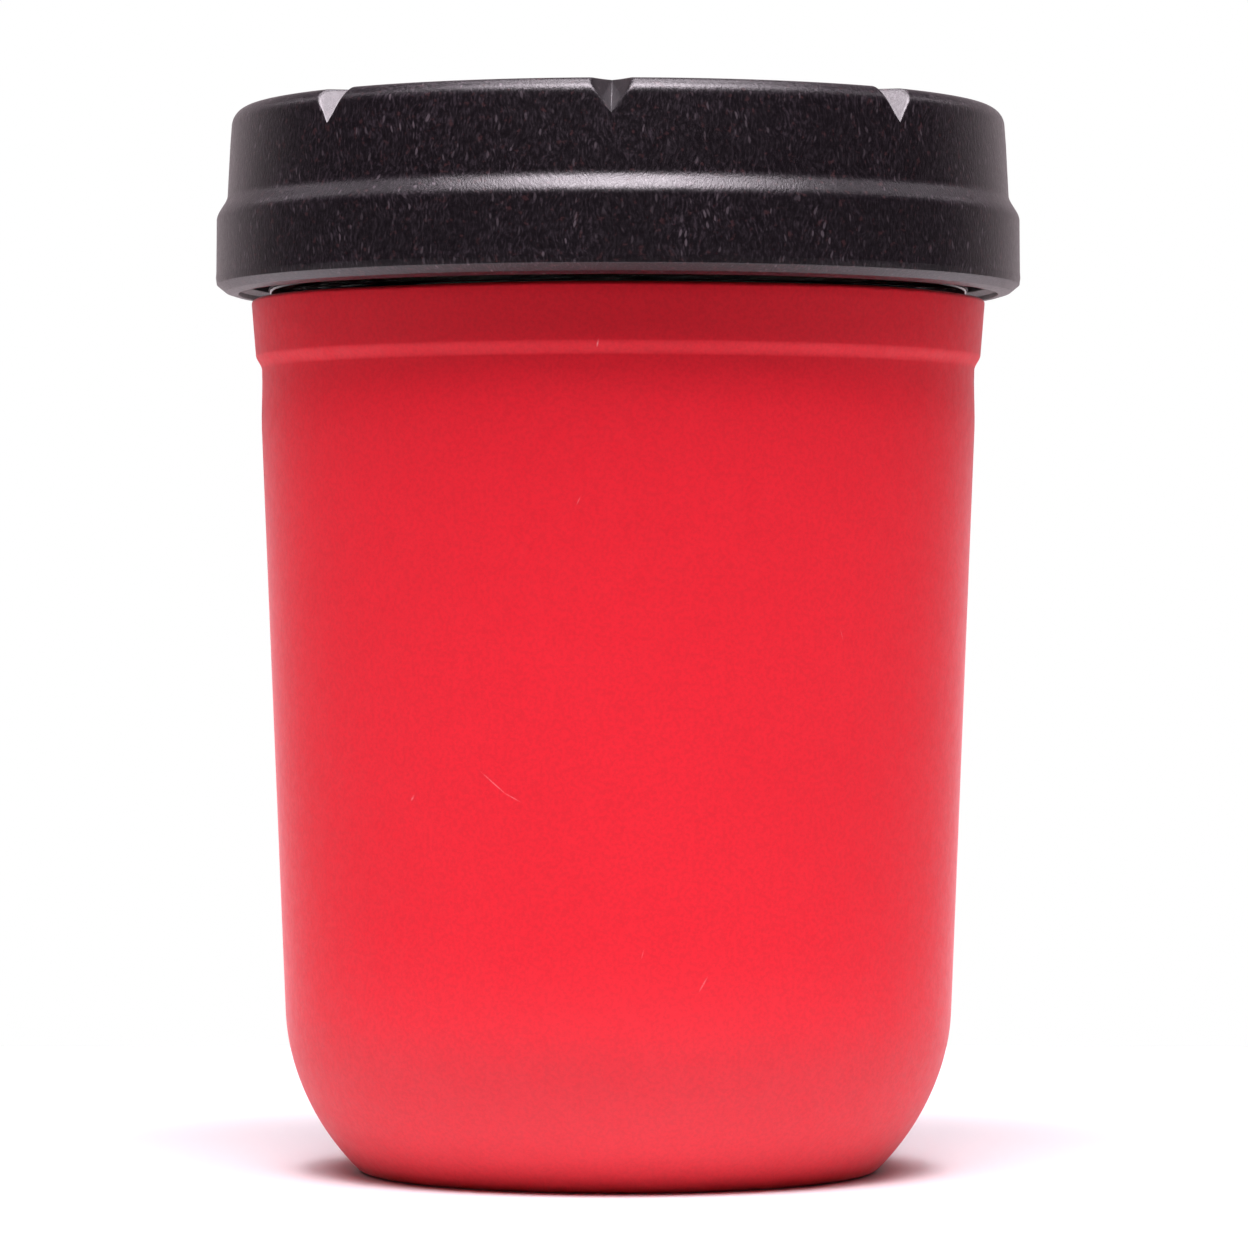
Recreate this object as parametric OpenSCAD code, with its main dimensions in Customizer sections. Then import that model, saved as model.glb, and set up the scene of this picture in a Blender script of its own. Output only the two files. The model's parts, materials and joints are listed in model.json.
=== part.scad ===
// Lidded jar: a glass screw-neck jar in a rubber sleeve, closed by a push-and-turn lid.
// The origin is the middle of the foot, on the table. +Z is up and -Y is the front.
// The lid has two shells. The outer one spins freely until it is pressed down against
// the spring, and then its lugs drop between those of the inner one and turn it.

/* [Overall] */
// Height from the table to the top of the closed lid
total_h = 108.8; // [106:0.2:114]
// Widest diameter, at the lid's lower tier
lid_d = 82.5; // [82.4:0.1:84]
// Height of the lid's outer shell
lid_h = 19.05; // [18.85:0.05:19.75]

/* [Glass jar] */
// Diameter over the crest of the jar's thread
thread_d = 69.9; // [69.6:0.1:70.1]
// Rise of the thread in one turn
thread_pitch = 5.08; // [4.8:0.02:5.2]
// Turns of thread on the jar's neck
thread_turns = 1.25; // [1:0.05:1.3]
// Inner diameter of the mouth
mouth_d = 60.3; // [58:0.1:61]
// Thickness of the glass wall
glass_wall = 2.8; // [2.2:0.1:3.2]
// Thickness of the glass base
glass_base = 4; // [3:0.1:5]

/* [Sleeve] */
// Diameter of the sleeve just under its collar
sleeve_d = 73.2; // [72.8:0.1:73.6]
// Thickness of the sleeve's wall
sleeve_wall = 1.9; // [1.6:0.1:2.2]
// Lean of the wall from upright, in degrees
taper = 2.3; // [1.5:0.1:2.6]
// Radius of the rounded heel at the bottom
heel_r = 24; // [22:0.5:25]
// Height of the centre of that radius
heel_z = 17.5; // [16.5:0.5:18]

/* [Lid] */
// Notches round the lid's top edge
notch_count = 8; // [4:1:12]
// Depth of a notch on the lid's side
notch_depth = 3.7; // [2:0.1:3.8]
// Turn of the outer shell from having a notch at dead front, in degrees
shell_turn = -0.9; // [-12:0.1:12]
// Driving lugs on each of the lid's two shells
lug_count = 8; // [4:1:10]
// How far the outer shell travels when it is pressed
press_travel = 1.4; // [1.2:0.1:1.6]

/* [Hidden] */

round_fn = 96;         // facets drawn on a turned part
fit = 0.05;            // gap between parts that rest on each other
arc_steps = 10;        // segments in a rounded stretch of an outline
blend = 0.2;           // how far a joined shape reaches into its neighbour

// Heights, from the table up
sleeve_floor = 2;
glass_z = sleeve_floor + fit;
lid_bottom = total_h - lid_h;
sleeve_top = lid_bottom - 0.45;
ledge_z = sleeve_top - 6.4;             // middle of the step under the collar
shoulder_z = sleeve_top - 1.4;          // where the glass turns in to the neck
bead_r = 0.9;
bead_z = sleeve_top + 1.1;              // middle of the glass bead under the thread
skirt_bottom = bead_z + bead_r + 0.5;   // lower edge of the inner cap

// The lid's stack, from the top down
shell_panel = 2;
cap_panel = 1.3;
seal_t = 1;
lug_gap = 0.3;                          // between the two sets of lugs at rest
lug_h = press_travel - 0.1;
panel_gap = 2 * lug_h + lug_gap;
shell_under = total_h - shell_panel;
cap_top = shell_under - panel_gap;
cap_under = cap_top - cap_panel;
seal_z = cap_under - fit - seal_t;
rim_z = seal_z - fit;

// Radii of the glass
crest_r = thread_d / 2;
neck_r = crest_r - 1.45;
bead_out = crest_r + 0.95;
mouth_r = mouth_d / 2;

// The sleeve's wall leans out as it rises, and its heel is an arc tangent to it
lean = tan(taper);
function wall_r(z) = sleeve_d / 2 - lean * (ledge_z - 0.6 - z);
heel_c = wall_r(heel_z - heel_r * sin(taper)) - heel_r * cos(taper);

// Radii of the lid's two shells
shell_r = lid_d / 2;
shell_wall = 2.05;
lower_top_r = shell_r - 0.25;
upper_low_r = shell_r - 1.2;
upper_top_r = shell_r - 1.75;
flange_r = shell_r - shell_wall - 0.4;
snap_r = flange_r - 0.7;                // the bead that keeps the inner cap in
cap_bore = crest_r + 0.55;
cap_r = cap_bore + 1.8;

// Points on an arc about c, from angle a0 to a1
function arc(c, r, a0, a1, n = arc_steps) =
    [for (i = [0:n]) let (a = a0 + (a1 - a0) * i / n) c + r * [cos(a), sin(a)]];

// Points over a shallow dome from its middle outwards, up to its edge at radius r and height z
function dome(r, z, rise, n = 4) =
    [for (i = [0:n - 1]) let (t = i / n) [r * t, z + rise * (1 - t * t)]];

// Points on a soft S from p to q, upright at both ends
function s_curve(p, q, n = arc_steps) =
    [for (i = [0:n]) let (t = i / n, s = t * t * (3 - 2 * t))
        [p[0] + (q[0] - p[0]) * s, p[1] + (q[1] - p[1]) * t]];

function backwards(points) = [for (i = [len(points) - 1:-1:0]) points[i]];

// A round of radius f blends a heel of radius r into a floor at height z
function foot_c(r, f, z) = [heel_c + sqrt(pow(r - f, 2) - pow(heel_z - z - f, 2)), z + f];
function foot_angle(r, f, z) = atan2(z + f - heel_z, foot_c(r, f, z)[0] - heel_c);

// Outline of that round and the heel above it, from the floor up to the wall
function heel(r, f, z) = concat(
    arc(foot_c(r, f, z), f, -90, foot_angle(r, f, z), 6),
    arc([heel_c, heel_z], r, foot_angle(r, f, z) + 2, -taper, 16));

module turned(outline) {
    rotate_extrude($fn = round_fn) polygon(outline);
}

module ring(inner, outer, z, h) {
    turned([[inner, z], [outer, z], [outer, z + h], [inner, z + h]]);
}

// Section of a screw ridge, as [radius, height] round its edge, with half its height at the root.
// That half is negative on a ridge that faces inwards.
function ridge_section(root, shoulder, crest, half) = [
    [root, -half], [shoulder, -0.6 * half], [crest, -0.24 * half],
    [crest, 0.24 * half], [shoulder, 0.6 * half], [root, half]];

// A screw ridge as one solid. It runs from angle a0 to a1 and fades into its root at both ends.
module screw_ridge(section, z_start, a0, a1) {
    fade = 20;            // degrees
    step = 7.5;           // degrees between two sections
    stub = 0.15;          // what is left of the section at the very end
    end_height = 0.4;     // share of its height that the section never loses
    root_r = section[0][0];
    n = ceil((a1 - a0) / step);
    m = len(section);
    function grown(a) = min(1, (a - a0) / fade + stub, (a1 - a) / fade + stub);
    points = [for (i = [0:n]) let (a = a0 + (a1 - a0) * i / n, k = grown(a)) for (p = section)
        let (r = root_r + (p[0] - root_r) * k, high = p[1] * (end_height + (1 - end_height) * k))
        [r * cos(a), r * sin(a), z_start + thread_pitch * a / 360 + high]];
    sides = [for (i = [0:n - 1]) for (j = [0:m - 1]) let (k = (j + 1) % m)
        each [[i * m + j, i * m + k, (i + 1) * m + k], [i * m + j, (i + 1) * m + k, (i + 1) * m + j]]];
    ends = [[for (j = [m - 1:-1:0]) j], [for (j = [0:m - 1]) n * m + j]];
    polyhedron(points, concat(sides, ends), convexity = 8);
}

// --- Glass jar ---

ridge_root = 0.4;                                 // how deep a ridge's root lies in the wall
ridge_half = 1.25;                                // half the ridge's height at its root
thread_z = bead_z + bead_r + 0.1 + ridge_half;    // middle of the ridge where it starts

module glass_jar() {
    skin = sleeve_wall + fit;
    foot_round = 1.2;
    floor_round = 3;
    bearing_w = 3;           // width of the ring that the glass stands on
    base_rise = 1.6;         // how far the base is hollowed
    floor_rise = 0.7;        // how far the floor inside bulges
    shoulder_round = 1.2;
    shoulder_turn = 78;      // degrees
    lip = 0.9;
    floor_z = glass_z + glass_base;
    inner_neck_z = ledge_z + 3;
    outer_heel = heel(heel_r - skin, foot_round, glass_z);
    inner_heel = heel(heel_r - skin - glass_wall, floor_round, floor_z);
    bearing_r = outer_heel[0][0] - bearing_w;
    shoulder_r = wall_r(shoulder_z) - skin;
    outline = concat(
        dome(bearing_r, glass_z, base_rise),
        [[bearing_r, glass_z]],
        outer_heel,
        arc([shoulder_r - shoulder_round, shoulder_z], shoulder_round, -taper, shoulder_turn, 8),
        [[neck_r, shoulder_z + shoulder_round + 0.1], [neck_r, bead_z - bead_r]],
        arc([bead_out - bead_r, bead_z], bead_r, -90, 90),
        [[neck_r, bead_z + bead_r]],
        arc([neck_r - lip, rim_z - lip], lip, 0, 90, 6),
        arc([mouth_r + lip, rim_z - lip], lip, 90, 180, 6),
        s_curve([mouth_r, bead_z + bead_r], [wall_r(inner_neck_z) - skin - glass_wall, inner_neck_z]),
        backwards(inner_heel),
        backwards(dome(inner_heel[0][0], floor_z, floor_rise)));
    color("lightcyan", 0.4) {
        turned(outline);
        screw_ridge(ridge_section(neck_r - ridge_root, neck_r + 1.1, crest_r, ridge_half),
            thread_z, 0, thread_turns * 360);
    }
}

// --- Rubber sleeve ---

module silicone_sleeve() {
    collar_step = 0.6;       // how far the collar stands out from the wall
    collar_flare = 0.46;     // how much further its top leans out
    ledge_half = 0.75;       // half the height of the step under it
    lip = 0.45;
    inner_lip = 0.3;
    foot_round = 1.5;
    inner_round = 1.2;
    recess = 0.5;
    recess_r = 21.6;
    collar_r = wall_r(ledge_z) + collar_step;
    lip_r = collar_r + collar_flare;
    bore_r = wall_r(shoulder_z) - sleeve_wall;
    outline = concat(
        [[0, recess], [recess_r, recess], [recess_r + recess, 0]],
        heel(heel_r, foot_round, 0),
        s_curve([wall_r(ledge_z - ledge_half), ledge_z - ledge_half], [collar_r, ledge_z + ledge_half], 8),
        arc([lip_r - lip, sleeve_top - lip], lip, 0, 90, 6),
        arc([bore_r + inner_lip, sleeve_top - inner_lip], inner_lip, 90, 180, 4),
        [[bore_r, shoulder_z]],
        backwards(heel(heel_r - sleeve_wall, inner_round, sleeve_floor)),
        [[0, sleeve_floor]]);
    color("crimson") turned(outline);
}

// --- Seal ---

module seal_disc() {
    edge = 0.3;
    seal_r = cap_bore - 0.3;
    color("whitesmoke") turned(concat(
        [[0, seal_z]],
        arc([seal_r - edge, seal_z + edge], edge, -90, 0, 4),
        arc([seal_r - edge, seal_z + seal_t - edge], edge, 0, 90, 4),
        [[0, seal_z + seal_t]]));
}

// --- Lugs that join the two shells when the lid is pressed ---

module lugs(z, turn) {
    inner = 24;
    outer = 31;
    span = 9;
    for (i = [0:lug_count - 1])
        rotate([0, 0, turn + i * 360 / lug_count - span / 2])
            rotate_extrude(angle = span, $fn = round_fn)
                translate([inner, z]) square([outer - inner, lug_h + blend]);
}

// --- Inner cap ---

module inner_cap() {
    corner = 2.2;
    flange_h = 1.4;
    flange_slope = 0.8;
    bevel = 0.3;
    lead_in = 0.5;           // bevel at the bore's lower edge
    hold_in = 0.9;           // the bead under the seal: how far it stands in,
    hold_flat = 0.35;        // the height of its crest,
    hold_slope = 0.6;        // and of the slope under it
    hold_z = seal_z - 0.15;
    ridge_h = 1.5;
    ridge_drop = 1.8;        // how far the ridge runs under the jar's, where their flanks nearly touch
    crest_edge = 0.3;
    z_start = thread_z - ridge_drop;
    first_angle = 360 * (skirt_bottom + 1.15 - z_start) / thread_pitch;
    last_angle = 360 * (seal_z - 3 - z_start) / thread_pitch;
    hold_r = cap_bore - hold_in;
    hold_top = hold_z - 0.15;
    hold_low = hold_top - hold_flat;
    ridge_r = cap_bore - ridge_h;
    outline = concat(
        [[cap_bore + lead_in, skirt_bottom], [flange_r - bevel, skirt_bottom],
         [flange_r, skirt_bottom + bevel], [flange_r, skirt_bottom + flange_h],
         [cap_r, skirt_bottom + flange_h + flange_slope]],
        arc([cap_r - corner, cap_top - corner], corner, 0, 90),
        [[0, cap_top], [0, cap_under], [cap_bore, cap_under], [cap_bore, hold_z],
         [hold_r, hold_top], [hold_r, hold_low], [cap_bore, hold_low - hold_slope],
         [cap_bore, skirt_bottom + lead_in]]);
    color("dimgray") {
        turned(outline);
        screw_ridge(ridge_section(cap_bore + ridge_root, ridge_r + crest_edge, ridge_r, -1),
            z_start, first_angle, last_angle);
        lugs(cap_top - blend, 180 / lug_count);
    }
}

// --- Spring between the shells ---

spring_r = 20;

module press_spring() {
    thick = 0.8;
    finger_thick = 0.72;
    ring_w = 7;
    fingers = 6;
    length = 8;
    width = 3.4;
    hole_r = spring_r - ring_w;
    slope = asin((panel_gap - 2 * fit - thick) / length);
    ring_z = shell_under - fit - thick;
    color("silver") {
        ring(hole_r, spring_r, ring_z, thick);
        for (i = [0:fingers - 1])
            rotate([0, 0, i * 360 / fingers])
                translate([(spring_r + hole_r) / 2, 0, ring_z + thick / 2])
                    rotate([-slope, 0, 0])
                        translate([-width / 2, 0, -thick / 2]) cube([width, length, finger_thick]);
    }
}

// --- Outer shell ---

// A V groove that climbs from the lid's side to its top
module notch() {
    run = 4.8;               // how far in from the side it reaches along the top
    half_angle = 43.6;
    outside = 4;             // how far the cutter starts outside the lid
    length = 12;
    height = 5;
    slope = atan(notch_depth / run);
    half_w = height * tan(half_angle);
    translate([upper_top_r + 0.1, 0, total_h - notch_depth])
        rotate([0, slope - 90, 0])
            translate([0, 0, -outside])
                linear_extrude(length) polygon([[0, 0], [height, -half_w], [height, half_w]]);
}

module outer_cap() {
    edge = 1.2;
    corner = 3;
    corner_wall = 1.7;
    recess_r = 32;
    recess = 0.4;
    recess_slope = 0.5;
    step_low = lid_bottom + 7.55;
    step_high = lid_bottom + 10.15;
    rim_out = 0.12;          // the rim round the lower edge: how far it stands out,
    rim_low = 1.5;           // where it starts to fade into the wall,
    rim_high = 2.3;          // and where it ends
    chamfer_h = 1;
    chamfer_w = 1.85;
    chamfer_edge = 0.1;
    foot_w = 0.45;           // width of the flat under the wall
    snap_bevel = 0.3;
    snap_slope = 0.4;
    gate_r = 2;              // the moulding mark in the middle of the top
    gate_depth = 0.2;
    rib_gap = 0.5;           // the rib that keeps the spring central
    rib_w = 1;
    rib_h = 1.2;
    inner_r = shell_r - shell_wall;
    foot_r = shell_r - chamfer_w - foot_w;
    snap_top = skirt_bottom - 0.3;
    outline = concat(
        [[0, total_h - recess], [recess_r - recess_slope, total_h - recess], [recess_r, total_h]],
        arc([upper_top_r - edge, total_h - edge], edge, 90, 0),
        s_curve([upper_low_r, step_high], [lower_top_r, step_low]),
        [[shell_r - rim_out, lid_bottom + rim_high], [shell_r, lid_bottom + rim_low],
         [shell_r, lid_bottom + chamfer_h + chamfer_edge],
         [shell_r - 2 * chamfer_edge, lid_bottom + chamfer_h - chamfer_edge],
         [shell_r - chamfer_w, lid_bottom], [foot_r, lid_bottom], [foot_r - chamfer_edge, lid_bottom + 0.5],
         [snap_r + snap_bevel, snap_top - 2 * snap_bevel - snap_slope],
         [snap_r, snap_top - snap_bevel - snap_slope], [snap_r, snap_top - snap_bevel],
         [snap_r + snap_bevel, snap_top], [inner_r, snap_top]],
        s_curve([inner_r, step_low - 1.2], [upper_low_r - shell_wall, step_high - 1.2]),
        arc([upper_top_r - corner_wall - corner, shell_under - corner], corner, 0, 90),
        [[0, shell_under]]);
    color([0.08, 0.08, 0.09]) rotate([0, 0, shell_turn]) {
        difference() {
            turned(outline);
            for (i = [0:notch_count - 1])
                rotate([0, 0, i * 360 / notch_count - 90]) notch();
            translate([0, 0, total_h - recess - gate_depth]) cylinder(h = 1, r = gate_r, $fn = 48);
        }
        lugs(shell_under - lug_h, 0);
        ring(spring_r + rib_gap, spring_r + rib_gap + rib_w, shell_under - rib_h, rib_h + blend);
    }
}

glass_jar();
silicone_sleeve();
seal_disc();
inner_cap();
press_spring();
outer_cap();
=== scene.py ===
import json
import math

import bmesh
import bpy
import numpy as np
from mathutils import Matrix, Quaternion, Vector


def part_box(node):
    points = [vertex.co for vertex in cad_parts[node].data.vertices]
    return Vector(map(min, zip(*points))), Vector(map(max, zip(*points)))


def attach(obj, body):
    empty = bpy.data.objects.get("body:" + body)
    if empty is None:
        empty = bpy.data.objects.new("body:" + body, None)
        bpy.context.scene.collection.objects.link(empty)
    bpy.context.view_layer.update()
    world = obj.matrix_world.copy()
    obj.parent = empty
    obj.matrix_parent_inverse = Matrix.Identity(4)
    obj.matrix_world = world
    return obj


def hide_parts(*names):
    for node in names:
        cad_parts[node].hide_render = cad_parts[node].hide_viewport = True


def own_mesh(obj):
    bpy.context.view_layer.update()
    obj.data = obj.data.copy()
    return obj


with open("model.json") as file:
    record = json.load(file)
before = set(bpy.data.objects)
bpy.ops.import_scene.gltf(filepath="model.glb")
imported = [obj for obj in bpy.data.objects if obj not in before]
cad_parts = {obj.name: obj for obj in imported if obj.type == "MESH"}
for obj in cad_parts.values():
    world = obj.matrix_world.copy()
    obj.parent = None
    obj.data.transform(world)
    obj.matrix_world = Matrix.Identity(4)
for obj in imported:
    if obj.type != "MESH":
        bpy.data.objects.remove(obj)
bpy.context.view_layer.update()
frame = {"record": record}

# Looks for the sleeved jar. Outlines are in millimetres, as [radius, height] from the jar's axis and
# the table, and angles go round the axis from +X. The sizes that other pieces lean on come from the
# frame; the small offsets that shape an edge or a bead are given where the piece is made.

MM = 0.001  # a millimetre in the frame's metres
WELD = 0.0005  # points closer than this are one point


def low(node):
    """The lowest corner of a CAD node's box, in millimetres."""
    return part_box(node)[0] / MM


def high(node):
    """The highest corner of a CAD node's box, in millimetres."""
    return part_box(node)[1] / MM


LID_TOP = high("outer_cap").z
LID_LOW = low("outer_cap").z
SHELL_R = high("outer_cap").x
SLEEVE_TOP = high("silicone_sleeve").z
LIP_R = high("silicone_sleeve").x
GLASS_LOW = low("glass_jar").z
RIM = high("glass_jar").z
BEAD_R = high("glass_jar").x
SEAL_R = high("seal_disc").x
SEAL_LOW = low("seal_disc").z
SEAL_TOP = high("seal_disc").z
FLANGE_R = high("inner_cap").x
SKIRT_LOW = low("inner_cap").z
LUG_TOP = high("inner_cap").z
SPRING_R = high("press_spring").x
SPRING_LOW = low("press_spring").z
SPRING_TOP = high("press_spring").z

coupling = frame["record"]["behaviour"]["couplings"][0]
PITCH = coupling["ratio"] * 2 * math.pi / MM


# --- Outlines ---

def arc(centre, radius, start, end, steps):
    """Points on an arc, with its angles in degrees."""
    angles = np.radians(np.linspace(start, end, steps + 1))
    return [[centre[0] + radius * math.cos(a), centre[1] + radius * math.sin(a)] for a in angles]


def smooth(t):
    """Eases from 0 to 1 as t goes from 0 to 1, and holds either side."""
    t = np.clip(t, 0, 1)
    return t * t * (3 - 2 * t)


def s_curve(start, end, steps):
    """Points on a soft S that leaves and arrives upright."""
    return [[start[0] + (end[0] - start[0]) * smooth(t), start[1] + (end[1] - start[1]) * t]
            for t in np.linspace(0, 1, steps + 1)]


def rounded(corners, steps=5):
    """An outline through [radius, height, fillet] corners, each rounded by its fillet."""
    points = []
    for i, (r, z, fillet) in enumerate(corners):
        here = Vector((r, z))
        if not fillet:
            points.append([r, z])
            continue
        before = (Vector(corners[i - 1][:2]) - here).normalized()
        after = (Vector(corners[(i + 1) % len(corners)][:2]) - here).normalized()
        half = before.angle(after) / 2
        centre = here + (before + after).normalized() * (fillet / math.sin(half))
        first = here + before * (fillet / math.tan(half)) - centre
        last = here + after * (fillet / math.tan(half)) - centre
        swept = first.angle_signed(last)
        for k in range(steps + 1):
            a = -swept * k / steps
            points.append([centre.x + first.x * math.cos(a) - first.y * math.sin(a),
                           centre.y + first.x * math.sin(a) + first.y * math.cos(a)])
    return points


def box_section(left, right, low_z, high_z, fillet, steps):
    """The outline of a bar with rounded edges."""
    return rounded([(left, low_z, fillet), (right, low_z, fillet), (right, high_z, fillet),
                    (left, high_z, fillet)], steps)


def dense(outline, step):
    """The outline with extra points, so that none is more than step from the next."""
    points = []
    for a, b in zip(outline, outline[1:]):
        parts = max(1, math.ceil(math.dist(a, b) / step))
        points += [[a[0] + (b[0] - a[0]) * k / parts, a[1] + (b[1] - a[1]) * k / parts]
                   for k in range(parts)]
    return points + [outline[-1]]


# --- Mesh building ---

def turn(outline, columns):
    """A grid of points, [row][column], that turns the outline round the axis."""
    angle = np.linspace(0, 2 * math.pi, columns, endpoint=False)
    r, z = np.array(outline).T
    return polar(r[:, None], np.broadcast_to(angle, (len(r), columns)), z[:, None])


def polar(r, angle, z):
    """A grid of points from its radii, angles and heights."""
    return np.stack(np.broadcast_arrays(r * np.cos(angle), r * np.sin(angle), z), axis=-1)


def cylindrical(points):
    """The radii, angles and heights of a grid of points."""
    x, y, z = np.moveaxis(points, -1, 0)
    return np.hypot(x, y), np.arctan2(y, x), z


def add_grid(bm, grid, ring=False, paint=None):
    """Faces between a grid's rows and round its columns. A ring's last row meets its first. Paint gives
    the material of the face at a row and a column."""
    rows, columns = grid.shape[:2]
    verts = [[bm.verts.new(p) for p in row] for row in grid * MM]
    for i in range(rows if ring else rows - 1):
        here, above = verts[i], verts[(i + 1) % rows]
        for j in range(columns):
            k = (j + 1) % columns
            face = bm.faces.new((here[j], here[k], above[k], above[j]))
            if paint is not None:
                face.material_index = paint(i, j)


def add_sweep(bm, loops):
    """A closed solid through a row of loops of points, capped at both ends."""
    rings = [[bm.verts.new(Vector(p) * MM) for p in loop] for loop in loops]
    for here, above in zip(rings, rings[1:]):
        for j in range(len(here)):
            k = (j + 1) % len(here)
            bm.faces.new((here[j], here[k], above[k], above[j]))
    bm.faces.new(rings[0])
    bm.faces.new(rings[-1])


def finish_piece(bm, name, body, nodes, materials, sharp=None):
    """Turns the mesh into a smooth-shaded piece on its CAD body, in place of its CAD nodes. Edges that
    bend by more than sharp, in degrees, stay crisp."""
    bmesh.ops.remove_doubles(bm, verts=bm.verts, dist=WELD * MM)
    bmesh.ops.dissolve_degenerate(bm, edges=bm.edges, dist=WELD * MM)
    bmesh.ops.recalc_face_normals(bm, faces=bm.faces)
    mesh = bpy.data.meshes.new(name)
    bm.to_mesh(mesh)
    bm.free()
    mesh.shade_smooth()
    if sharp:
        mesh.set_sharp_from_angle(angle=math.radians(sharp))
    piece = bpy.data.objects.new(name, mesh)
    bpy.context.scene.collection.objects.link(piece)
    for material in materials:
        mesh.materials.append(material)
    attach(piece, body)
    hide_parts(*nodes)
    return piece


def thread_ridge(angle, z, first_z, first, last, height, half):
    """How far a screw ridge stands out. Its middle is at first_z where the angle is 0, it runs from the
    angle first to last, and it reaches half its width to either side."""
    fade = math.radians(22)
    flank = 0.75 * half
    most_turns = 3
    angle = angle % (2 * math.pi)
    stands = np.zeros(np.broadcast(angle, z).shape)
    for turns in range(most_turns):
        along = angle + 2 * math.pi * turns
        off = np.abs(z - first_z - PITCH * along / (2 * math.pi))
        grown = smooth(np.minimum(along - first, last - along) / fade)
        stands = np.maximum(stands, height * grown * smooth((half - off) / flank))
    return stands


# --- Materials ---

MIX_SHARE = 0  # the sockets of a Mix node that mixes colours
MIX_FIRST = 6
MIX_SECOND = 7
MIX_RESULT = 2


class Nodes:
    """A shader's nodes."""

    def __init__(self, tree):
        self.tree = tree

    def add(self, kind, **values):
        """A node. Values that name one of its settings set it, and the others feed its sockets, by name
        or, as i0, i1 and so on, by place."""
        node = self.tree.nodes.new(kind)
        for key, value in values.items():
            if hasattr(node, key):
                setattr(node, key, value)
        for key, value in values.items():
            if not hasattr(node, key):
                socket = int(key[1:]) if key[1:].isdigit() else key.replace("_", " ")
                self.feed(node.inputs[socket], value)
        return node

    def feed(self, socket, value):
        """Links the value to the socket, or sets it there if it is a constant."""
        if isinstance(value, bpy.types.NodeSocket):
            self.tree.links.new(value, socket)
        else:
            socket.default_value = value

    def calc(self, operation, a, b=0.0):
        return self.add("ShaderNodeMath", operation=operation, i0=a, i1=b).outputs[0]

    def band(self, value, start, end, to_start=0.0, to_end=1.0):
        """Eases from to_start to to_end as the value goes from start to end."""
        node = self.add("ShaderNodeMapRange", interpolation_type="SMOOTHSTEP", Value=value,
                        From_Min=start, From_Max=end, To_Min=to_start, To_Max=to_end)
        return node.outputs[0]

    def mix(self, share, a, b):
        node = self.add("ShaderNodeMix", data_type="RGBA")
        self.feed(node.inputs[MIX_SHARE], share)
        self.feed(node.inputs[MIX_FIRST], a)
        self.feed(node.inputs[MIX_SECOND], b)
        return node.outputs[MIX_RESULT]


class Finish(Nodes):
    """A procedural material. Its places are in millimetres, in the jar's own frame."""

    def __init__(self, name, **sockets):
        self.material = bpy.data.materials.new(name)
        self.material.use_nodes = True
        super().__init__(self.material.node_tree)
        self.surface = self.tree.nodes["Principled BSDF"]
        for socket, value in sockets.items():
            self.surface.inputs[socket.replace("_", " ")].default_value = value
        spot = self.add("ShaderNodeTexCoord").outputs["Object"]
        scaled = self.add("ShaderNodeVectorMath", operation="SCALE", Vector=spot, Scale=1 / MM)
        self.place = scaled.outputs[0]

    def stretch(self, x, y, z, place=None):
        """Places for a pattern that is drawn out along an axis where its share is under 1."""
        scaled = self.add("ShaderNodeVectorMath", operation="MULTIPLY", i0=place or self.place, i1=(x, y, z))
        return scaled.outputs[0]

    def noise(self, scale, detail=2.0, place=None, rough=0.5):
        return self.add("ShaderNodeTexNoise", Vector=place or self.place, Scale=scale, Detail=detail,
                        Roughness=rough).outputs["Fac"]

    def bump(self, height, distance, before=None):
        """Adds relief, its height from 0 to 1 standing for a distance in millimetres."""
        node = self.add("ShaderNodeBump", Height=height, Distance=distance * MM)
        if before is not None:
            self.feed(node.inputs["Normal"], before)
        return node.outputs[0]

    def set(self, socket, value):
        self.feed(self.surface.inputs[socket], value)


def rgb(red, green, blue):
    """An opaque colour, from linear shares."""
    return (red, green, blue, 1.0)


def silicone():
    """Matte red rubber with a fine grain, a few scuffs and a little lint, and a painted sheen that makes it
    paler round its heel, standing in for light from the floor.
    """
    full_red = rgb(0.79, 0.0088, 0.023)
    light_red = rgb(0.815, 0.0098, 0.025)
    grain_red = rgb(0.55, 0.005, 0.016)
    # Pale pink for the scuffs and lint, and for the painted sheen round the heel.
    scuff_and_sheen_pink = rgb(0.93, 0.36, 0.38)
    heel_sheen_from = 26
    heel_sheen_full = 3
    heel_sheen_share = 0.085
    f = Finish("silicone", Sheen_Weight=0.3, Sheen_Roughness=0.3, Sheen_Tint=rgb(1, 0.72, 0.74))
    f.surface.inputs["Specular IOR Level"].default_value = 0.33
    cloudy = f.noise(0.04, detail=2)
    grain = f.noise(2.5, detail=2, rough=0.7)
    height = f.add("ShaderNodeSeparateXYZ", Vector=f.place).outputs["Z"]
    red = f.mix(f.band(cloudy, 0.3, 0.7), full_red, light_red)
    red = f.mix(f.band(grain, 0.35, 0.7, 0, 0.34), red, grain_red)
    marks = scuffs(f)
    # Painted sheen: the lower the sleeve, the further it is mixed towards pale pink, standing in for light
    # bounced up from the floor.
    painted_heel_sheen = f.band(height, heel_sheen_from, heel_sheen_full, 0, heel_sheen_share)
    f.set("Base Color", f.mix(f.calc("MAXIMUM", marks, painted_heel_sheen), red, scuff_and_sheen_pink))
    f.set("Roughness", f.band(f.noise(0.8, detail=4), 0.3, 0.7, 0.54, 0.64))
    peel = f.bump(f.noise(0.45, detail=1), 0.016)
    f.set("Normal", f.bump(f.calc("ADD", grain, marks), 0.012, before=peel))
    return f.material


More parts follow.
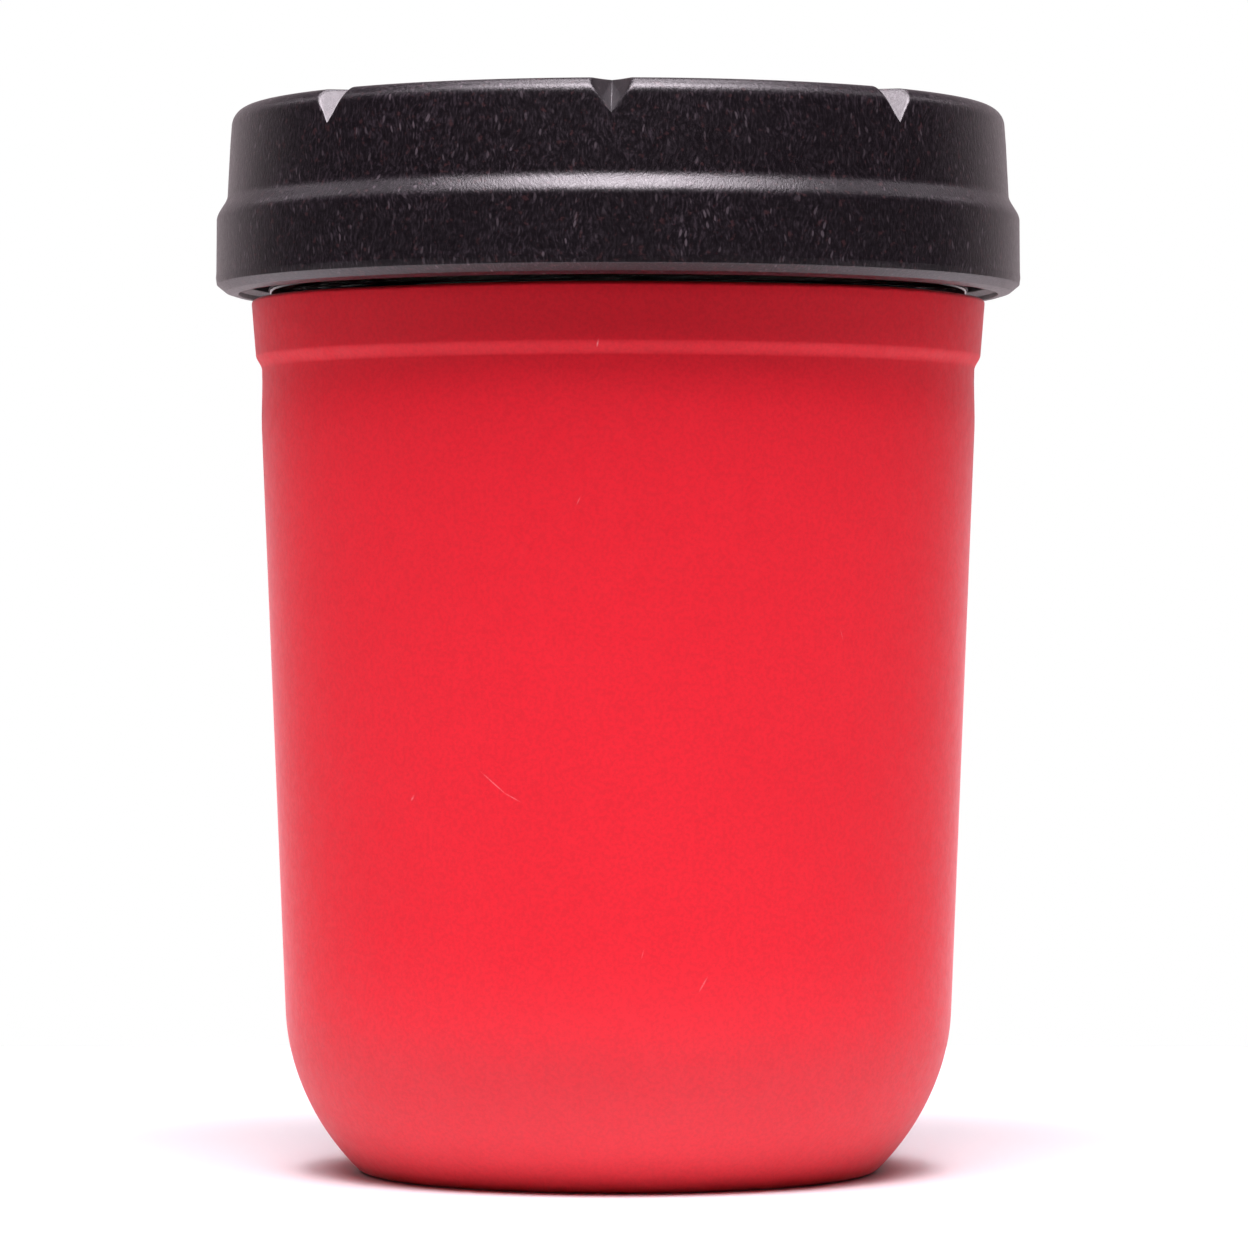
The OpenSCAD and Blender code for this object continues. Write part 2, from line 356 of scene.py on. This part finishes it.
# The scuffs and bits of lint: each one's angle from the front, height, length, width, lean from upright in
# degrees, and strength.
SCUFFS = (
    (-35, 39, 0.9, 0.28, 35, 0.5),
    (-20, 40.5, 4.6, 0.16, -50, 0.45),
    (-17, 39.2, 2.4, 0.13, -62, 0.4),
    (14, 21, 2.2, 0.2, 30, 0.4),
    (-3, 83.2, 1.0, 0.22, 12, 0.8),
    (29, 6.6, 0.9, 0.5, 60, 0.5),
    (4, 24, 1.3, 0.12, 15, 0.3),
    (-6, 68, 1.2, 0.14, 25, 0.35),
    (38, 55, 1.5, 0.12, -20, 0.3),
    (110, 60, 3.0, 0.15, 40, 0.45),
    (165, 30, 2.2, 0.18, -30, 0.45),
    (230, 72, 1.4, 0.2, 15, 0.5))


def scuffs(f):
    """Pale thin marks on the sleeve, as a share from 0 to 1."""
    reach_in = 3
    share = None
    for angle, z, length, width, lean, strength in SCUFFS:
        around = math.radians(angle - 90)
        centre = (wall_r(z) * math.cos(around), wall_r(z) * math.sin(around), z)
        local = f.add("ShaderNodeMapping", vector_type="TEXTURE", Vector=f.place, Location=centre,
                      Rotation=(0, math.radians(lean), around + math.pi / 2),
                      Scale=(width / 2, reach_in, length / 2))
        off = f.add("ShaderNodeVectorMath", operation="LENGTH", Vector=local.outputs[0]).outputs["Value"]
        mark = f.band(off, 1.0, 0.2, 0, strength)
        share = mark if share is None else f.calc("MAXIMUM", share, mark)
    return f.calc("MULTIPLY", share, f.band(f.noise(4, detail=2), 0.3, 0.5, 0.4, 1))


def flecked_plastic(name, cut=False):
    """Near-black plastic filled with short pale fibres that run mostly upright, and brown specks.
    Where it is cut, as in the notches, it is smoother and fewer fibres show."""
    black = rgb(0.0058, 0.0040, 0.0057)
    strand_grey = rgb(0.040, 0.030, 0.038)
    speck_brown = rgb(0.055, 0.024, 0.026)
    fibre_grey = rgb(0.15, 0.125, 0.14)
    share = 0.6 if cut else 1.0
    roughness = (0.30, 0.38) if cut else (0.29, 0.39)
    relief = 0.015 if cut else 0.04
    f = Finish(name)
    f.surface.inputs["Specular IOR Level"].default_value = 0.52
    wander = f.add("ShaderNodeTexNoise", Vector=f.place, Scale=0.22, Detail=2.0).outputs["Color"]
    wandering = f.add("ShaderNodeVectorMath", operation="MULTIPLY_ADD", i0=wander, i1=(2.6, 2.6, 0.0),
                      i2=f.place)
    upright = f.stretch(1.0, 1.0, 0.34, place=wandering.outputs[0])
    strands = f.noise(4.2, detail=3, place=upright, rough=0.62)
    fibres = f.add("ShaderNodeTexVoronoi", Vector=upright, Scale=1.9, Randomness=1.0)
    shine = f.add("ShaderNodeSeparateColor", Color=fibres.outputs["Color"]).outputs[1]
    near = f.band(fibres.outputs["Distance"], 0.36, 0.16)
    fibre = f.calc("MULTIPLY", near, f.band(shine, 0.55, 1.0))
    specks = f.band(f.noise(1.5, detail=2), 0.60, 0.74)
    patches = f.band(f.noise(0.13, detail=1), 0.34, 0.62, 0.45, 1)
    grain = f.calc("MULTIPLY", f.band(strands, 0.44, 0.78, 0, share), patches)
    dark = f.mix(grain, black, strand_grey)
    brown = f.mix(f.calc("MULTIPLY", specks, 0.6 * share), dark, speck_brown)
    pale = f.calc("MULTIPLY", f.calc("MULTIPLY", fibre, patches), 0.55 * share)
    f.set("Base Color", f.mix(pale, brown, fibre_grey))
    f.set("Roughness", f.band(strands, 0.3, 0.7, *roughness))
    f.set("Normal", f.bump(strands, relief))
    return f.material


def clear_glass():
    """Pressed glass, slightly wavy."""
    f = Finish("glass", Base_Color=rgb(0.93, 0.975, 0.96), Roughness=0.02, IOR=1.5,
               Transmission_Weight=1.0)
    f.set("Normal", f.bump(f.noise(0.16, detail=2), 0.12))
    return f.material


def moulded_plastic():
    """Dark grey plastic with the faint orange peel of a mould."""
    f = Finish("moulded_plastic")
    tone = f.noise(0.12, detail=3)
    f.set("Base Color", f.mix(tone, rgb(0.020, 0.020, 0.022), rgb(0.034, 0.033, 0.036)))
    f.set("Roughness", f.band(f.noise(1.1, detail=4), 0.3, 0.7, 0.36, 0.5))
    f.set("Normal", f.bump(f.noise(2.0, detail=3), 0.012))
    return f.material


def seal_rubber():
    """Off-white foamed liner with fine pores."""
    f = Finish("seal_rubber")
    pores = f.noise(3.0, detail=3, rough=0.6)
    f.set("Base Color", f.mix(f.band(pores, 0.3, 0.7), rgb(0.60, 0.58, 0.53), rgb(0.78, 0.765, 0.72)))
    f.set("Roughness", f.band(pores, 0.3, 0.7, 0.62, 0.78))
    f.set("Normal", f.bump(pores, 0.03))
    return f.material


def spring_steel():
    """Stamped stainless strip, brushed before it was cut."""
    f = Finish("spring_steel", Metallic=1.0)
    brushed = f.noise(5.0, detail=3, place=f.stretch(0.06, 1.0, 1.0))
    f.set("Base Color", f.mix(brushed, rgb(0.46, 0.46, 0.47), rgb(0.66, 0.66, 0.67)))
    f.set("Roughness", f.band(brushed, 0.3, 0.7, 0.24, 0.4))
    f.set("Normal", f.bump(brushed, 0.004))
    return f.material


# --- Sleeve ---

TAPER = math.tan(math.radians(2.3))
HEEL_R = 24  # the radius of the heel's curve
HEEL_Z = 17.5  # the height of its centre
HEEL_FILLET = 1.5  # where the heel meets the foot
INNER_FILLET = 1.2  # the same inside, and on the glass
UNDER_COLLAR = (LIP_R - 1.08, SLEEVE_TOP - 7)
LEDGE_Z = SLEEVE_TOP - 6.4
SHOULDER_Z = SLEEVE_TOP - 1.4
SLEEVE_WALL = 1.9
SLEEVE_FLOOR = 2.0
SWELL = 0.26  # how far the wall stands out, is out of round and dips at its lip
WOBBLE = 0.03
LIP_DIP = 0.045


def wall_r(z):
    """Outer radius of the sleeve's tapered wall."""
    return UNDER_COLLAR[0] - TAPER * (UNDER_COLLAR[1] - z)


HEEL_CENTRE_R = wall_r(HEEL_Z - HEEL_R * TAPER) - HEEL_R


def heel(radius, fillet, floor_z):
    """The outline of the rounded heel, from the floor up to the wall. Radius is that of its curve."""
    steps = 28
    up = floor_z + fillet
    out = HEEL_CENTRE_R + math.sqrt((radius - fillet) ** 2 - (HEEL_Z - up) ** 2)
    meets = math.degrees(math.atan2(up - HEEL_Z, out - HEEL_CENTRE_R))
    return (arc((out, up), fillet, -90, meets, 6)
            + arc((HEEL_CENTRE_R, HEEL_Z), radius, meets, -math.degrees(TAPER), steps)[1:])


def uneven(points):
    """The soft wall swells out between its heel and its ledge, is never quite round, and its lip dips a
    little here and there."""
    r, angle, z = cylindrical(points)
    foot_r = 24
    swell = SWELL * smooth((LEDGE_Z - 1 - z) / 6)
    swell = swell + WOBBLE * (np.sin(3 * angle + 0.8) + 0.6 * np.sin(5 * angle + 2.1 + z / 30) - 1.6)
    r = r + swell * smooth((z - SLEEVE_FLOOR) / 14) * (r > foot_r)
    dip = np.sin(2 * angle + 2.6) + 0.7 * np.sin(7 * angle + 1.0) - 1.7
    z = z + LIP_DIP * dip * smooth((z - LEDGE_Z) / 6)
    return polar(r, angle, z)


def make_sleeve():
    """A cup with a hollow foot, a rounded heel and a thicker collar."""
    outer_heel = heel(HEEL_R, HEEL_FILLET, 0)
    hollow = 0.5
    hollow_r = 21.6
    ledge_low = LEDGE_Z - 0.85
    collar_r = wall_r(LEDGE_Z) + 0.6
    bore_r = wall_r(SHOULDER_Z) - SLEEVE_WALL
    outline = (
        rounded([(0, hollow, 0), (hollow_r, hollow, 0.2), (hollow_r + 0.6, 0, 0.2),
                 (outer_heel[0][0], 0, 0)])[:-1]
        + outer_heel
        + s_curve((wall_r(ledge_low), ledge_low), (collar_r, LEDGE_Z + 0.75), 12)
        + rounded([(collar_r, LEDGE_Z + 0.8, 0), (LIP_R, SLEEVE_TOP, 0.42), (bore_r, SLEEVE_TOP, 0.35),
                   (bore_r, SHOULDER_Z, 0)])[1:]
        + heel(HEEL_R - SLEEVE_WALL, INNER_FILLET, SLEEVE_FLOOR)[::-1]
        + [[0, SLEEVE_FLOOR]])
    bm = bmesh.new()
    add_grid(bm, uneven(turn(dense(outline, 1.2), 288)))
    finish_piece(bm, "sleeve", "jar", ["silicone_sleeve"], [silicone()])


# --- Glass jar ---

FIT = 0.05  # the gap between the glass and the sleeve
GLASS_WALL = 2.8
FLOOR_Z = GLASS_LOW + 4
NECK_R = BEAD_R - 2.4
MOUTH_R = NECK_R - 3.35
BEAD_Z = SLEEVE_TOP + 1.1
BEAD_HALF = 0.9
THREAD_Z = BEAD_Z + BEAD_HALF + 1.35
SAME_R = 0.02  # radii closer than this are the same wall


def make_jar():
    """The glass, with a bead round the neck under its screw thread."""
    skin = SLEEVE_WALL + FIT
    shoulder_round = 1.2
    shoulder_r = wall_r(SHOULDER_Z) - skin
    rim_round = 0.9
    rim_z = RIM - rim_round
    inner_neck_z = LEDGE_Z + 3
    inner_neck_r = wall_r(inner_neck_z) - skin - GLASS_WALL
    outer_heel = heel(HEEL_R - skin, INNER_FILLET, GLASS_LOW)
    inner_heel = heel(HEEL_R - skin - GLASS_WALL, 3, FLOOR_Z)
    bearing_r = outer_heel[0][0] - 3
    hollow = ((0, 1.6), (0.3, 1.5), (0.6, 1.1), (0.85, 0.5), (0.95, 0.1), (1, 0))
    crown = ((18, 0.2), (12, 0.5), (6, 0.65), (0, 0.7))
    outline = (
        [[bearing_r * share, GLASS_LOW + rise] for share, rise in hollow]
        + outer_heel
        + arc((shoulder_r - shoulder_round, SHOULDER_Z), shoulder_round, 0, 78, 8)
        + [[NECK_R, SHOULDER_Z + 1.3], [NECK_R, BEAD_Z - BEAD_HALF]]
        + arc((BEAD_R - BEAD_HALF, BEAD_Z), BEAD_HALF, -90, 90, 16)
        + dense([[NECK_R, BEAD_Z + BEAD_HALF], [NECK_R, rim_z]], 0.12)
        + arc((NECK_R - rim_round, rim_z), rim_round, 0, 90, 8)
        + arc((MOUTH_R + rim_round, rim_z), rim_round, 90, 180, 8)
        + s_curve((MOUTH_R, BEAD_Z + BEAD_HALF), (inner_neck_r, inner_neck_z), 24)
        + inner_heel[::-1]
        + [[r, FLOOR_Z + rise] for r, rise in crown])
    r, angle, z = cylindrical(turn(dense(outline, 2.0), 288))
    on_neck = np.abs(r - NECK_R) < SAME_R
    ridge = thread_ridge(angle, z, THREAD_Z, 0, math.radians(450), height=1.45, half=1.2)
    bm = bmesh.new()
    add_grid(bm, polar(r + ridge * on_neck, angle, z))
    finish_piece(bm, "jar", "jar", ["glass_jar"], [clear_glass()])


# --- Inner cap, seal and spring ---

CAP_BORE = BEAD_R - 0.4
CAP_TOP = LUG_TOP - 1.3
CAP_PANEL = 1.3
LUGS = 8
LUG_INNER = 24
LUG_OUTER = 31
LUG_SPAN = 9  # in degrees
SUNK = 0.2  # how far lugs and ribs go into the panel that carries them


def add_lugs(bm, low_z, high_z, first_angle):
    """Blocks round a circle, by which one shell of the lid drives the other."""
    columns = 9
    section = box_section(LUG_INNER, LUG_OUTER, low_z, high_z, 0.15, 2)
    for i in range(LUGS):
        middle = first_angle + i * 360 / LUGS
        angles = np.radians(np.linspace(middle - LUG_SPAN / 2, middle + LUG_SPAN / 2, columns))
        add_sweep(bm, [[(r * math.cos(a), r * math.sin(a), z) for r, z in section] for a in angles])


def make_inner_cap():
    """The threaded shell. A bead in its bore holds the seal up."""
    cap_r = CAP_BORE + 1.8
    under = CAP_TOP - CAP_PANEL
    hold_r = CAP_BORE - 0.9
    hold_z = SEAL_LOW - 0.15
    outline = rounded([
        (0, CAP_TOP, 0), (cap_r, CAP_TOP, 2.2), (cap_r, SKIRT_LOW + 2.2, 0.3),
        (FLANGE_R, SKIRT_LOW + 1.4, 0.25), (FLANGE_R, SKIRT_LOW, 0.3), (CAP_BORE + 0.2, SKIRT_LOW, 0.2),
        (CAP_BORE, SKIRT_LOW + 0.5, 0)])
    outline += dense([[CAP_BORE, SKIRT_LOW + 0.6], [CAP_BORE, hold_z - 1.2]], 0.1)
    outline += rounded([
        (CAP_BORE, hold_z - 1.1, 0), (hold_r, hold_z - 0.5, 0.15), (hold_r, hold_z - 0.15, 0.1),
        (CAP_BORE, hold_z, 0.05), (CAP_BORE, under, 0.3), (0, under, 0)])
    r, angle, z = cylindrical(turn(dense(outline, 3.0), 320))
    in_bore = (np.abs(r - CAP_BORE) < SAME_R) & (z < hold_z - 1)
    ridge_z = THREAD_Z - 1.8
    first = (SKIRT_LOW + 1.15 - ridge_z) / PITCH * 2 * math.pi
    last = (SEAL_LOW - 3 - ridge_z) / PITCH * 2 * math.pi
    ridge = thread_ridge(angle, z, ridge_z, first, last, height=1.5, half=0.95)
    bm = bmesh.new()
    add_grid(bm, polar(r - ridge * in_bore, angle, z))
    add_lugs(bm, CAP_TOP - SUNK, LUG_TOP, 180 / LUGS)
    finish_piece(bm, "threaded_cap", "inner_cap", ["inner_cap"], [moulded_plastic()], sharp=50)


def make_seal():
    """A disc with a shallow ring where the jar's rim presses into it."""
    rim_middle = (NECK_R + MOUTH_R) / 2
    dent = SEAL_LOW + 0.12
    outline = rounded([
        (0, SEAL_LOW, 0), (MOUTH_R - 0.2, SEAL_LOW, 0.3), (MOUTH_R + 0.5, dent, 0.3),
        (rim_middle, dent + 0.02, 0), (NECK_R - 0.5, dent, 0.3), (NECK_R + 0.2, SEAL_LOW, 0.3),
        (SEAL_R, SEAL_LOW, 0.25), (SEAL_R, SEAL_TOP, 0.25), (0, SEAL_TOP, 0)])
    bm = bmesh.new()
    add_grid(bm, turn(dense(outline, 3.0), 192))
    finish_piece(bm, "seal", "seal", ["seal_disc"], [seal_rubber()])


def make_spring():
    """A flat ring with fingers that bend down from it and rest on the inner cap."""
    thick = 0.6
    finger_thick = thick * 0.85
    edge = 0.12
    fingers = 6
    hole_r = SPRING_R - 7
    finger_r = SPRING_R - 3.5
    width = 3.2
    length = 8.2
    narrowing = 0.35
    joined = 0.05
    under = SPRING_TOP - thick
    drop = under - SPRING_LOW
    bm = bmesh.new()
    add_grid(bm, turn(box_section(hole_r, SPRING_R, under, SPRING_TOP, edge, 3), 128), ring=True)
    for i in range(fingers):
        turned = math.radians(i * 360 / fingers)
        along = Vector((-math.sin(turned), math.cos(turned), 0))
        across = Vector((math.cos(turned), math.sin(turned), 0))
        loops = []
        for t in np.linspace(0, 1, 17):
            half = width / 2 * (1 - narrowing * t)
            z = under + joined - (drop + joined) * smooth(t * 1.12)
            middle = across * finger_r + along * (length * t)
            section = box_section(-half, half, 0, finger_thick, edge, 2)
            loops.append([middle + across * x + Vector((0, 0, z + y)) for x, y in section])
        add_sweep(bm, loops)
    spring = finish_piece(bm, "spring", "spring", ["press_spring"], [spring_steel()], sharp=40)
    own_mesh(spring)


# --- Outer shell of the lid ---

NOTCHES = 8
NOTCH_DEPTH = 3.45
NOTCH_RUN = 4.8  # how far in from the edge a notch comes up to the top
NOTCH_SLOPE = math.atan2(NOTCH_DEPTH, NOTCH_RUN)
NOTCH_TAN = math.tan(math.radians(43.6))  # from half the angle between a notch's faces
NOTCH_LIP = 0.35  # how wide its rounded lip is, each side of the edge
NOTCH_STEPS = (0, 0.07, 0.3, 0.6, 0.85)  # points down a notch's face, as shares of it
SHELL_TURN = math.radians(-0.9)  # how far the front notch is from the front
SHELL_WALL = 2.05
UPPER_R = SHELL_R - 1.75
SHELL_UNDER = LID_TOP - 2
APEX_R = UPPER_R + 0.1  # where a notch's bottom line meets the side
APEX_Z = LID_TOP - NOTCH_DEPTH


def notch_reach(r, z, angle=0.0):
    """How far a point lies in front of a notch's bottom line, square to that line."""
    out = r * math.cos(angle) - APEX_R
    up = z - APEX_Z
    return out * math.sin(NOTCH_SLOPE) + up * math.cos(NOTCH_SLOPE)


def notch_edge(r, z):
    """The angle from a notch's middle to its edge, at a radius and height on the lid."""
    angle = 0.0
    most_rounds = 30
    for _ in range(most_rounds):
        reach = notch_reach(r, z, angle)
        if reach <= 0:
            return 0.0
        angle = math.asin(min(1, reach * NOTCH_TAN / r))
    return angle


def half_sector(r, z):
    """Points from a notch's middle to halfway to the next, as the x, y and z of a notch on +X. They go up
    the notch's face, over its rounded lip and on round the side."""
    sector = math.pi / NOTCHES
    edge = notch_edge(r, z)
    reach = max(0.0, notch_reach(r, z))
    bottom = Vector((r - reach * math.sin(NOTCH_SLOPE), 0, z - reach * math.cos(NOTCH_SLOPE)))
    lip = Vector((r * math.cos(edge), r * math.sin(edge), z))
    soft = min(NOTCH_LIP, 0.35 * (lip - bottom).length)
    inside = lip + (bottom - lip).normalized() * soft
    beyond = edge + soft / max(r, 1)
    outside = Vector((r * math.cos(beyond), r * math.sin(beyond), z))
    points = [bottom.lerp(inside, t) for t in NOTCH_STEPS]
    points += [inside * (1 - t) ** 2 + lip * 2 * t * (1 - t) + outside * t ** 2
               for t in np.linspace(0, 1, 6)]
    for t in (0.02, 0.06, 0.12, *np.linspace(0.2, 1, 11)):
        a = beyond + (sector - beyond) * t
        points.append(Vector((r * math.cos(a), r * math.sin(a), z)))
    return points


def shell_outline():
    """The shell from the middle of its top, down its two tiers, and up inside to the middle again."""
    panel_z = LID_TOP - 0.4
    dimple_z = panel_z - 0.15
    rim_r = 34.6
    step_r = SHELL_R - 1.2
    lower_r = SHELL_R - 0.08
    inner_r = SHELL_R - SHELL_WALL
    ceiling_r = UPPER_R - 1.7
    snap_r = FLANGE_R - 0.7
    snap_top = SKIRT_LOW - 0.3
    outline = rounded([
        (0, dimple_z, 0), (1.9, dimple_z, 0.1), (2.1, panel_z, 0.1), (31.5, panel_z, 0.3),
        (32, LID_TOP, 0.3), (rim_r, LID_TOP, 0)])
    outline += dense(rounded([
        (rim_r + 0.1, LID_TOP, 0), (UPPER_R, LID_TOP, 1.9), (UPPER_R + 0.28, APEX_Z - 0.3, 0)], 18), 0.2)
    outline += s_curve((step_r, LID_LOW + 10.15), (lower_r, LID_LOW + 7.55), 20)
    outline += rounded([
        (lower_r, LID_LOW + 7, 0), (SHELL_R - 0.04, LID_LOW + 2.3, 0.8), (SHELL_R, LID_LOW + 1.7, 0.8),
        (SHELL_R - 0.09, LID_LOW + 1, 0.15), (SHELL_R - 1.0, LID_LOW + 0.26, 0.35),
        (SHELL_R - 1.85, LID_LOW, 0.2), (SHELL_R - 2.3, LID_LOW, 0.15), (SHELL_R - 2.4, LID_LOW + 0.5, 0.05),
        (snap_r, snap_top - 0.8, 0.15), (snap_r, snap_top - 0.15, 0.15),
        (inner_r, snap_top, 0.1), (inner_r, snap_top + 0.5, 0)])
    outline += s_curve((inner_r, LID_LOW + 6.35), (step_r - SHELL_WALL, LID_LOW + 8.95), 10)
    outline += rounded([
        (ceiling_r, SHELL_UNDER - 4, 0), (ceiling_r, SHELL_UNDER, 3), (0, SHELL_UNDER, 0)], 8)
    return dense(outline, 2.5)


def turned_about_axis(points, angle):
    """A grid of points, turned round the jar's axis."""
    x, y, z = np.moveaxis(points, -1, 0)
    return np.stack([x * math.cos(angle) - y * math.sin(angle),
                     x * math.sin(angle) + y * math.cos(angle), z], axis=-1)


def make_outer_cap():
    outline = shell_outline()
    half = np.array([[tuple(p) for p in half_sector(r, z)] for r, z in outline])
    mirrored = half[:, -2:0:-1] * (1, -1, 1)
    sector = np.concatenate([mirrored, half], axis=1)
    middles = SHELL_TURN - math.pi / 2 + 2 * math.pi * np.arange(NOTCHES) / NOTCHES
    grid = np.concatenate([turned_about_axis(sector, angle) for angle in middles], axis=1)
    notched = [notch_edge(r, z) > 0 for r, z in outline]
    per_sector = sector.shape[1]
    middle = mirrored.shape[1]
    cut_columns = len(NOTCH_STEPS) + 1

    def paint(row, column):
        from_middle = column % per_sector - middle
        return int(notched[row] and -cut_columns <= from_middle < cut_columns)

    # A rib under the top keeps the spring in the middle.
    rib_r = SPRING_R + 0.5
    rib_low = SHELL_UNDER - 1.2
    rib_high = SHELL_UNDER + SUNK
    rib = rounded([(rib_r, rib_low, 0.15), (rib_r + 1, rib_low, 0.15), (rib_r + 1, rib_high, 0.05),
                   (rib_r, rib_high, 0.05)], 3)
    bm = bmesh.new()
    add_grid(bm, grid, paint=paint)
    add_lugs(bm, SHELL_UNDER - 1.3, SHELL_UNDER + SUNK, math.degrees(SHELL_TURN))
    add_grid(bm, turn(rib, 128), ring=True)
    looks = [flecked_plastic("flecked_plastic"), flecked_plastic("flecked_plastic_cut", cut=True)]
    finish_piece(bm, "lid_shell", "outer_cap", ["outer_cap"], looks)


# --- Studio ---

CAMERA_AWAY = 616.7
CAMERA_SIDE = 0.6
EYE_HEIGHT = 56.05
LENS = 173.1
SENSOR = 36
NEAREST = 20  # nothing closer to the camera is drawn
LAMP_AWAY = 900
LAMP_TINT = (1.0, 0.90, 0.98)
FLOOR_HALF_WIDE = 450
FLOOR_HALF_DEEP = 180


def make_camera():
    """Level with the jar's middle, as the photograph was taken."""
    data = bpy.data.cameras.new("camera")
    data.lens = LENS
    data.sensor_width = SENSOR
    data.clip_start = NEAREST * MM
    camera = bpy.data.objects.new("camera", data)
    camera.location = Vector((CAMERA_SIDE, -CAMERA_AWAY, EYE_HEIGHT)) * MM
    camera.rotation_euler = (math.radians(90), 0, 0)
    bpy.context.scene.collection.objects.link(camera)
    bpy.context.scene.camera = camera


def make_softbox(name, azimuth, elevation, wide, tall, glow, lean=0.0):
    """A soft light on the jar's middle, its angles in degrees. Azimuth is from the front, towards +X, wide
    and tall are the angles that the light fills as the jar sees it, and lean turns it on its own axis.
    Glow is in watts to the square metre."""
    turned = math.radians(azimuth)
    raised = math.radians(elevation)
    away = LAMP_AWAY * MM
    way = Vector((math.sin(turned) * math.cos(raised),
                  -math.cos(turned) * math.cos(raised),
                  math.sin(raised)))
    data = bpy.data.lights.new(name, "AREA")
    data.shape = "RECTANGLE"
    data.size = 2 * away * math.tan(math.radians(wide / 2))
    data.size_y = 2 * away * math.tan(math.radians(tall / 2))
    data.energy = glow * data.size * data.size_y
    data.color = LAMP_TINT
    lamp = bpy.data.objects.new(name, data)
    lamp.location = Vector((0, 0, EYE_HEIGHT * MM)) + way * away
    facing = way.to_track_quat("Z", "Y") @ Quaternion((0, 0, 1), math.radians(lean))
    lamp.rotation_euler = facing.to_euler()
    bpy.context.scene.collection.objects.link(lamp)


def make_world():
    """White all round as a backdrop. As a light it is a dim room with a bright sheet behind the jar."""
    world = bpy.data.worlds.new("studio")
    world.use_nodes = True
    bpy.context.scene.world = world
    n = Nodes(world.node_tree)
    backdrop = n.tree.nodes["Background"]
    backdrop.inputs["Color"].default_value = rgb(1, 1, 1)
    way = n.add("ShaderNodeSeparateXYZ", Vector=n.add("ShaderNodeTexCoord").outputs["Generated"])
    behind = n.band(way.outputs["Y"], 0.35, 1.0)
    near_table = n.band(way.outputs["Z"], 0.75, 0.15)
    sheet = n.calc("MULTIPLY", behind, near_table)
    glow = n.mix(sheet, rgb(0.03, 0.025, 0.029), rgb(0.82, 0.69, 0.73))
    room = n.add("ShaderNodeBackground", Color=glow)
    seen = n.add("ShaderNodeLightPath").outputs["Is Camera Ray"]
    both = n.add("ShaderNodeMixShader", i0=seen, i1=room.outputs[0], i2=backdrop.outputs[0])
    n.feed(n.tree.nodes["World Output"].inputs[0], both.outputs[0])


def make_floor():
    """An oval of pale paper."""
    bm = bmesh.new()
    bmesh.ops.create_circle(bm, cap_ends=True, segments=96, radius=1)
    bmesh.ops.scale(bm, verts=bm.verts, vec=(FLOOR_HALF_WIDE * MM, FLOOR_HALF_DEEP * MM, 1))
    mesh = bpy.data.meshes.new("floor")
    bm.to_mesh(mesh)
    bm.free()
    floor = bpy.data.objects.new("floor", mesh)
    bpy.context.scene.collection.objects.link(floor)
    f = Finish("paper", Roughness=0.7)
    f.surface.inputs["Specular IOR Level"].default_value = 0.2
    f.set("Base Color", f.mix(f.noise(0.02, detail=2), rgb(0.71, 0.71, 0.71), rgb(0.73, 0.73, 0.73)))
    mesh.materials.append(f.material)


make_sleeve()
make_jar()
make_inner_cap()
make_seal()
make_spring()
make_outer_cap()

make_floor()
make_world()
make_softbox("key", azimuth=0, elevation=68, wide=22, tall=21, glow=85)
make_softbox("overhead", azimuth=0, elevation=107, wide=24, tall=20, glow=28)
for side in (-1, 1):
    make_softbox("fill", azimuth=50 * side, elevation=67, wide=22, tall=19, glow=40)
    make_softbox("strip", azimuth=106 * side, elevation=43, wide=46, tall=4, glow=13, lean=-33 * side)
make_camera()
bpy.context.scene.view_settings.view_transform = "Standard"
